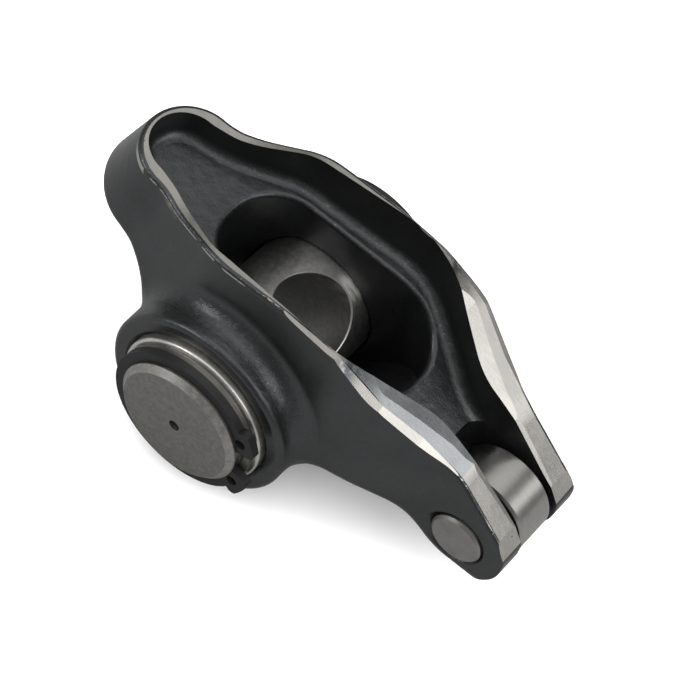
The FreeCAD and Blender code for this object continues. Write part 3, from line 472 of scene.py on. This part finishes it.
@dataclass(frozen=True)
class HighlightPatchMetal(Metal):
    """Satin metal with a painted highlight: one light, streaky patch beside the stud bore."""

    middle: Triple = (5.0, 7.4, 8.1)
    reach: float = 3.0
    streak: Triple = (0.35, 2.2, 0.35)
    streak_from: Span = (0.25, 0.6)
    highlight_colour: str = "fbf9f4"
    highlight_roughness: float = 0.7

    def marks(
        self, tree: bpy.types.NodeTree, plain: Socket, colour: Socket, rough: Socket
    ) -> Tuple[Socket, Socket, Union[Socket, float]]:
        """Draw the painted highlight, a light streaky patch.

        Args:
            tree: Node tree of the material.
            plain: Place in millimetres.
            colour: Colour of the bare finish.
            rough: Roughness of the bare finish.

        Returns:
            Colour, roughness and metallic value with the marks.
        """
        away = add_node(
            tree, "ShaderNodeVectorMath", {"operation": "DISTANCE"},
            {0: plain, 1: self.middle}).outputs["Value"]
        streaks = add_node(
            tree, "ShaderNodeTexNoise", None,
            {"Vector": in_millimetres(tree, self.streak), "Scale": 1.0, "Detail": 4.0,
             "Roughness": 0.6}).outputs["Fac"]
        patch = add_node(
            tree, "ShaderNodeMath", {"operation": "MULTIPLY"},
            {0: window_mask(tree, away, high=(self.reach / 3, self.reach)),
             1: window_mask(tree, streaks, self.streak_from)}).outputs[0]
        # Painted highlight: the patch mixes a near white into the colour
        colour = add_node(
            tree, "ShaderNodeMix", {"data_type": "RGBA"},
            {0: patch, 6: colour, 7: linear(self.highlight_colour)}).outputs[2]
        rough = add_node(
            tree, "ShaderNodeMix", {"data_type": "FLOAT"},
            {0: patch, 2: rough, 3: self.highlight_roughness}).outputs[0]
        return colour, rough, self.metallic


# Dark satin skin of an investment casting, its fine sparkle from bumps and from painted glints
BLACK_OXIDE = CastSkin(
    "black_oxide_cast_steel", "464748", "535455", metallic=0.93, roughness=(0.26, 0.37),
    grain=0.26, grain_depth=0.045, cloud=9.0)
# Bare ground band of the rim, warm grey
GROUND_RIM = GroundMetal(
    "bare_ground_steel", "a5a39e", "c3c0ba", roughness=(0.38, 0.5), grain=0.22, grain_depth=0.004,
    stretch=(0.2, 1.0, 1.0))
# Finer ground facets that run down to the fork, painted light: a warm, light copy of the facet steel for the
# facets that catch the lamps
WARM_FACET = GroundMetal(
    "warm_lit_ground_steel", "b0aea9", "cfccc6", roughness=(0.2, 0.32), grain=0.2, grain_depth=0.003,
    stretch=(0.15, 1.0, 0.15))
# The near side's inner facet and level band: a darker, bluish copy of the same facet steel, painted shade
# with a cool painted reflection
COOL_FACET = GroundMetal(
    "cool_shaded_ground_steel", "a1a3a5", "bec0c2", roughness=(0.22, 0.34), grain=0.2, grain_depth=0.003,
    stretch=(0.15, 1.0, 0.15))
# Satin grey of the hardened trunnion's end faces, with a fine mottle
TRUNNION_STEEL = Metal(
    "satin_hardened_steel", "7a7977", "989795", roughness=(0.44, 0.56), grain=0.22, grain_depth=0.008,
    stretch=(1.0, 0.5, 1.0), cloud=0.7)
# Round surface and bore of the trunnion: the end faces' steel painted lighter, as painted light where the
# lamps leave it dark, and a little smoother
LIT_JOURNAL_STEEL = HighlightPatchMetal(
    "lit_journal_steel", "9b9a98", "bcbbb9", roughness=(0.4, 0.52), grain=0.22, grain_depth=0.008,
    stretch=(1.0, 0.5, 1.0), cloud=0.7)
# Chamfer at the trunnion's ends with a painted highlight: a lighter ring round the end face
CHAMFER_HIGHLIGHT_STEEL = Metal(
    "chamfer_highlight_steel", "959390", "b9b7b3", roughness=(0.42, 0.58), grain=0.3, grain_depth=0.012,
    cloud=1.0)
# Painted highlight along the broken edge of the stud bore, a thin light line
EDGE_HIGHLIGHT_STEEL = Metal(
    "edge_highlight_steel", "d6d4cf", "f0eee9", roughness=(0.4, 0.55), grain=0.25, grain_depth=0.01)
# Ground face of the roller, with fine strokes round it that draw the highlight out
ROLLER_STEEL = Metal(
    "ground_bearing_steel", "a3a19d", "b9b7b2", roughness=(0.26, 0.34), grain=0.14, grain_depth=0.0015,
    stretch=(0.06, 1.0, 0.06), cloud=6.0)
# Dull grey ends of the pin
PIN_STEEL = Metal(
    "tumbled_pin_steel", "8f8d8a", "a9a7a4", roughness=(0.36, 0.48), grain=0.18, grain_depth=0.006, cloud=3.0)
# Bright drawn sheet of the bearing shell, the light ring behind the snap ring
SHELL_STEEL = Metal(
    "bright_drawn_steel", "cfcdc8", "e9e7e2", roughness=(0.32, 0.46), grain=0.3, grain_depth=0.004, cloud=3.0)
# Dull punched sheet of the cage, dark between the needles
CAGE_STEEL = Metal("punched_cage_steel", "55534f", "6c6a66", roughness=(0.35, 0.45))
# Polished needles with narrow bright lines
NEEDLE_STEEL = Metal("polished_needle_steel", "b0b0b0", "c8c8c8", roughness=(0.1, 0.18))
# Flat washer, painted darker than the shell behind it as painted shade in the gap under the snap ring
SHADED_WASHER_STEEL = Metal("shaded_washer_steel", "7d7b77", "94928e", roughness=(0.34, 0.48))
# Dark phosphate coat of the snap rings, nearly black
SPRING_STEEL = Metal(
    "phosphated_spring_steel", "272727", "353535", metallic=0.7, roughness=(0.42, 0.55), grain=0.15,
    grain_depth=0.006)


@dataclass
class Pieces:
    """CAD nodes that share one finish."""

    nodes: List[str]
    finish: Metal
    slot: str

    def dress(self) -> None:
        """Give the nodes their finish."""
        material = self.finish.build()
        for name in self.nodes:
            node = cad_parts[name]
            node.data.materials.clear()
            node.data.materials.append(material)
            log.info("%s: %s", name, self.finish.name)


class TrunnionZone(Enum):
    """Zones of the trunnion, in the order of its material slots."""

    END = 0
    EDGE = 1
    CHAMFER = 2
    JOURNAL = 3


@dataclass
class Trunnion:
    """The trunnion: satin ends, chamfers with a painted highlight, a round surface painted lighter than the
    ends as painted light, and a painted highlight along the edge of its bore.
    """

    node: str = "trunnion"
    slot: str = "ground_steel"
    bore_axis: Triple = (0.5, 0.0, 0.8660254)
    bore_r: float = 6.05
    edge_reach: Span = (0.02, 0.3)
    edge_facing: float = 0.97
    chamfer_from: float = 20.5
    chamfer_facing: Span = (0.2, 0.98)

    def is_edge(self, face: bpy.types.MeshPolygon) -> bool:
        """Tell whether a face belongs to the broken edge of the stud bore.

        Args:
            face: Face of the trunnion's mesh.

        Returns:
            True for a face just outside the bore, on the side that is seen.
        """
        middle = face.center / MM
        axis = Vector(self.bore_axis)
        outside = (middle - axis * middle.dot(axis)).length - self.bore_r
        near = self.edge_reach[0] < outside < self.edge_reach[1]
        return near and abs(face.normal.dot(axis)) < self.edge_facing

    def is_chamfer(self, face: bpy.types.MeshPolygon) -> bool:
        """Tell whether a face belongs to the chamfer of an end.

        Args:
            face: Face of the trunnion's mesh.

        Returns:
            True for a slanted face near an end, outside the centre hole.
        """
        middle = face.center / MM
        slanted = self.chamfer_facing[0] < abs(face.normal.y) < self.chamfer_facing[1]
        outer = math.hypot(middle.x, middle.z) > self.bore_r
        return slanted and outer and abs(middle.y) > self.chamfer_from

    def zone(self, face: bpy.types.MeshPolygon) -> TrunnionZone:
        """Tell which zone a face belongs to.

        Args:
            face: Face of the trunnion's mesh.

        Returns:
            The zone.
        """
        if self.is_edge(face):
            return TrunnionZone.EDGE
        if self.is_chamfer(face):
            return TrunnionZone.CHAMFER
        if abs(face.center.y / MM) < self.chamfer_from:
            return TrunnionZone.JOURNAL
        return TrunnionZone.END

    def dress(self) -> None:
        """Give the zones their finishes."""
        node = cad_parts[self.node]
        node.data.materials.clear()
        # Painted light: the round surface and bore take a lighter copy of the end faces' steel; the chamfers
        # and the bore's edge take painted highlights
        for finish in (TRUNNION_STEEL, EDGE_HIGHLIGHT_STEEL, CHAMFER_HIGHLIGHT_STEEL, LIT_JOURNAL_STEEL):
            node.data.materials.append(finish.build())
        for face in node.data.polygons:
            face.material_index = self.zone(face).value
        log.info("%s: dressed", self.node)


def pair(stem: str) -> List[str]:
    """Names of the two nodes of a piece that sits on both sides.

    Args:
        stem: Name without the side.

    Returns:
        Near and far node name.
    """
    return ["%s_%s" % (stem, side.value) for side in Side]


class BodyZone(Enum):
    """Zones of the body's skin, in the order of its material slots."""

    SKIN = 0
    RIM = 1
    # Warm painted light and cool painted shade: two copies of one ground steel
    WARM_FACET = 2
    COOL_FACET = 3


@dataclass
class RockerBody:
    """The cast body: dark skin, and bare metal where the rim was ground.

    The ground faces are known by their slopes: outward, away from the arm's middle, and forward, to
    the roller. Slopes are falls for each millimetre, and the other sizes are in millimetres.
    """

    node: str = "rocker_body"
    slot: str = "black_oxide_steel"
    profile: Tuple[Span, ...] = (
        (-44.0, 23.9), (-15.0, 20.2), (-6.8, 22.35), (14.0, 23.25), (34.3, 11.65), (42.6, 4.9), (44.65, 2.0))
    depth: float = 3.0
    rim_half: float = 12.7
    upright: float = 0.5
    fork_from: float = 24.0
    fork_half: float = 3.9
    nose_to: float = -16.0
    nose_slope: float = 0.05
    nape_slope: float = -0.35
    facets_from: float = -2.0
    fine_from: float = 15.0
    level_reach: float = 0.03
    outer_slope: float = 0.5
    inner_slope: float = -0.2
    slope_reach: float = 0.04
    crease: Span = (9.0, 25.0)
    crease_slopes: Span = (0.3, 1.2)
    fork_slope: float = 0.7

    def rim_height(self, x: float) -> float:
        """Height of the rim before rounding.

        Args:
            x: Station along the arm in millimetres.

        Returns:
            Height in millimetres.
        """
        for (x0, z0), (x1, z1) in zip(self.profile, self.profile[1:]):
            if x <= x1:
                return z0 + (z1 - z0) * (x - x0) / (x1 - x0)
        return self.profile[-1][1]

    def zone(self, face: bpy.types.MeshPolygon) -> BodyZone:
        """Tell which zone a face belongs to.

        Args:
            face: Face of the body's mesh.

        Returns:
            The zone.
        """
        x, y, z = face.center / MM
        up = face.normal.z
        below = z < self.rim_height(x) - self.depth
        in_fork = x > self.fork_from and abs(y) < self.fork_half
        if below or in_fork or abs(y) > self.rim_half or up < self.upright:
            return BodyZone.SKIN
        outward = face.normal.y / up * (1 if y > 0 else -1)
        forward = face.normal.x / up
        level = abs(outward) < self.level_reach
        if x < self.facets_from:
            lowest = self.nose_slope if x < self.nose_to else self.nape_slope
            return BodyZone.RIM if level and forward > lowest else BodyZone.SKIN
        outer = abs(outward - self.outer_slope) < self.slope_reach
        if self.crease[0] < x < self.crease[1]:
            outer = outer or self.crease_slopes[0] < outward < self.crease_slopes[1]
        inner = abs(outward - self.inner_slope) < self.slope_reach
        if not (level or outer or inner):
            return BodyZone.SKIN
        if x < self.fine_from:
            return BodyZone.RIM
        # Painted light: the near inner facet and level band take the darker, bluish copy of the facet steel,
        # the other facets the warm, light copy
        cool_shaded = y < 0 and not outer and forward < self.fork_slope
        return BodyZone.COOL_FACET if cool_shaded else BodyZone.WARM_FACET

    def dress(self) -> None:
        """Give the skin and the ground zones their finishes."""
        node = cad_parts[self.node]
        node.data.materials.clear()
        for finish in (BLACK_OXIDE, GROUND_RIM, WARM_FACET, COOL_FACET):
            node.data.materials.append(finish.build())
        count = dict.fromkeys(BodyZone, 0)
        for face in node.data.polygons:
            zone = self.zone(face)
            face.material_index = zone.value
            count[zone] += 1
        for zone, faces in count.items():
            log.info("%s: %d faces of %s", self.node, faces, zone.name)


@dataclass
class Camera:
    """The photograph's camera, solved from the round edges seen in it."""

    place: Triple = (87.96, -199.99, 323.8)
    right: Triple = (0.76524, 0.61285, 0.19702)
    down: Triple = (0.61008, -0.59276, -0.52577)
    ahead: Triple = (-0.20543, 0.52254, -0.82749)
    lens: float = 152.39
    sensor: float = 36.0
    seen: Span = (0.05, 5.0)

    def build(self) -> bpy.types.Object:
        """Make the camera and use it.

        Returns:
            The camera object.
        """
        data = bpy.data.cameras.new("camera")
        data.lens = self.lens
        data.sensor_width = self.sensor
        data.clip_start, data.clip_end = self.seen
        camera = bpy.data.objects.new("camera", data)
        bpy.context.scene.collection.objects.link(camera)
        turn = Matrix((self.right, [-v for v in self.down], [-v for v in self.ahead])).transposed()
        camera.matrix_world = Matrix.Translation(Vector(self.place) * MM) @ turn.to_4x4()
        bpy.context.scene.camera = camera
        log.info("camera %.0f mm", self.lens)
        return camera


@dataclass
class Softbox:
    """A rectangular white studio light aimed at the arm, with its place and size in metres."""

    name: str
    place: Triple
    width: float
    height: float
    watts: float
    aim: Triple = (0.0, 0.0, 0.0)
    in_gloss: bool = True

    def build(self) -> bpy.types.Object:
        """Make the light.

        Returns:
            The light object.
        """
        data = bpy.data.lights.new(self.name, "AREA")
        data.shape = "RECTANGLE"
        data.size = self.width
        data.size_y = self.height
        data.energy = self.watts
        light = bpy.data.objects.new(self.name, data)
        bpy.context.scene.collection.objects.link(light)
        light.location = self.place
        light.visible_glossy = self.in_gloss
        light.rotation_mode = "QUATERNION"
        light.rotation_quaternion = (Vector(self.aim) - Vector(self.place)).to_track_quat("-Z", "Y")
        log.info("softbox %s", self.name)
        return light


@dataclass
class Studio:
    """White floor, dim surroundings and softboxes, each where a face of the arm mirrors it."""

    floor_z: float = -14.45
    floor_half: float = 0.8
    floor_seen: str = "ffffff"
    floor_mirrored: str = "8f8f8f"
    floor_roughness: float = 0.5
    glow: float = 0.18
    boxes: List[Softbox] = field(default_factory=lambda: [
        Softbox("fill", (0.0, 0.0, 1.2), 3.6, 3.6, 84.0, in_gloss=False),
        Softbox("overhead", (-0.15, 0.05, 0.9), 0.9, 1.2, 3.2, aim=(-0.15, 0.05, 0.0)),
        Softbox("right", (0.9, -0.06, 0.78), 0.9, 0.7, 3.8),
        Softbox("back_right", (0.72, 0.48, 0.48), 0.4, 0.35, 0.6),
        Softbox("horizon", (0.5, 0.8, 0.32), 0.5, 0.4, 0.12),
        Softbox("front_left", (-0.8, -0.65, 0.6), 0.4, 0.4, 3.0),
    ])

    def floor(self) -> None:
        """Make the floor: white to the camera, dimmer in the metal, with the arm's shadow on it."""
        half = self.floor_half
        mesh = bpy.data.meshes.new("floor")
        corners = [(-half, -half, 0), (half, -half, 0), (half, half, 0), (-half, half, 0)]
        mesh.from_pydata(corners, [], [(0, 1, 2, 3)])
        floor = bpy.data.objects.new("floor", mesh)
        floor.location.z = self.floor_z * MM
        bpy.context.scene.collection.objects.link(floor)
        material, tree = start_tree("white_sweep_paper")
        rays = add_node(tree, "ShaderNodeLightPath").outputs["Is Camera Ray"]
        tone = add_node(
            tree, "ShaderNodeMix", {"data_type": "RGBA"},
            {0: rays, 6: linear(self.floor_mirrored), 7: linear(self.floor_seen)}).outputs[2]
        paper = add_node(
            tree, "ShaderNodeBsdfDiffuse", None,
            {"Color": tone, "Roughness": self.floor_roughness}).outputs["BSDF"]
        add_node(tree, "ShaderNodeOutputMaterial", None, {"Surface": paper})
        mesh.materials.append(material)

    def surroundings(self) -> None:
        """Make the world: white to the camera, dim grey to the metal."""
        world = bpy.data.worlds.new("studio")
        world.use_nodes = True
        tree = world.node_tree
        tree.nodes.clear()
        rays = add_node(tree, "ShaderNodeLightPath").outputs["Is Camera Ray"]
        strength = add_node(
            tree, "ShaderNodeMapRange", None,
            {"Value": rays, "To Min": self.glow, "To Max": 1.0}).outputs["Result"]
        glow = add_node(
            tree, "ShaderNodeBackground", None,
            {"Color": linear("ffffff"), "Strength": strength}).outputs["Background"]
        add_node(tree, "ShaderNodeOutputWorld", None, {"Surface": glow})
        bpy.context.scene.world = world

    def build(self) -> None:
        """Make the whole studio."""
        self.floor()
        self.surroundings()
        for box in self.boxes:
            box.build()


def plain_pieces() -> List[Pieces]:
    """List the groups of pieces that have one finish all over.

    Returns:
        The groups.
    """
    return [
        Pieces(["roller_tip"], ROLLER_STEEL, "roller_steel"),
        Pieces(["roller_pin"], PIN_STEEL, "pin_steel"),
        Pieces(pair("bearing_shell"), SHELL_STEEL, "shell_steel"),
        Pieces(pair("needle_cage"), CAGE_STEEL, "cage_steel"),
        Pieces(pair("needle_rollers"), NEEDLE_STEEL, "needle_steel"),
        Pieces(pair("thrust_washer"), SHADED_WASHER_STEEL, "washer_steel"),
        Pieces(pair("snap_ring"), SPRING_STEEL, "spring_steel"),
    ]


def main() -> None:
    """Build the looks, the studio and the camera."""
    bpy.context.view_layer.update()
    RockerBody().dress()
    Trunnion().dress()
    for group in plain_pieces():
        group.dress()
    Studio().build()
    Camera().build()
    bpy.context.scene.view_settings.view_transform = "Standard"


if __name__ == "__main__":
    main()
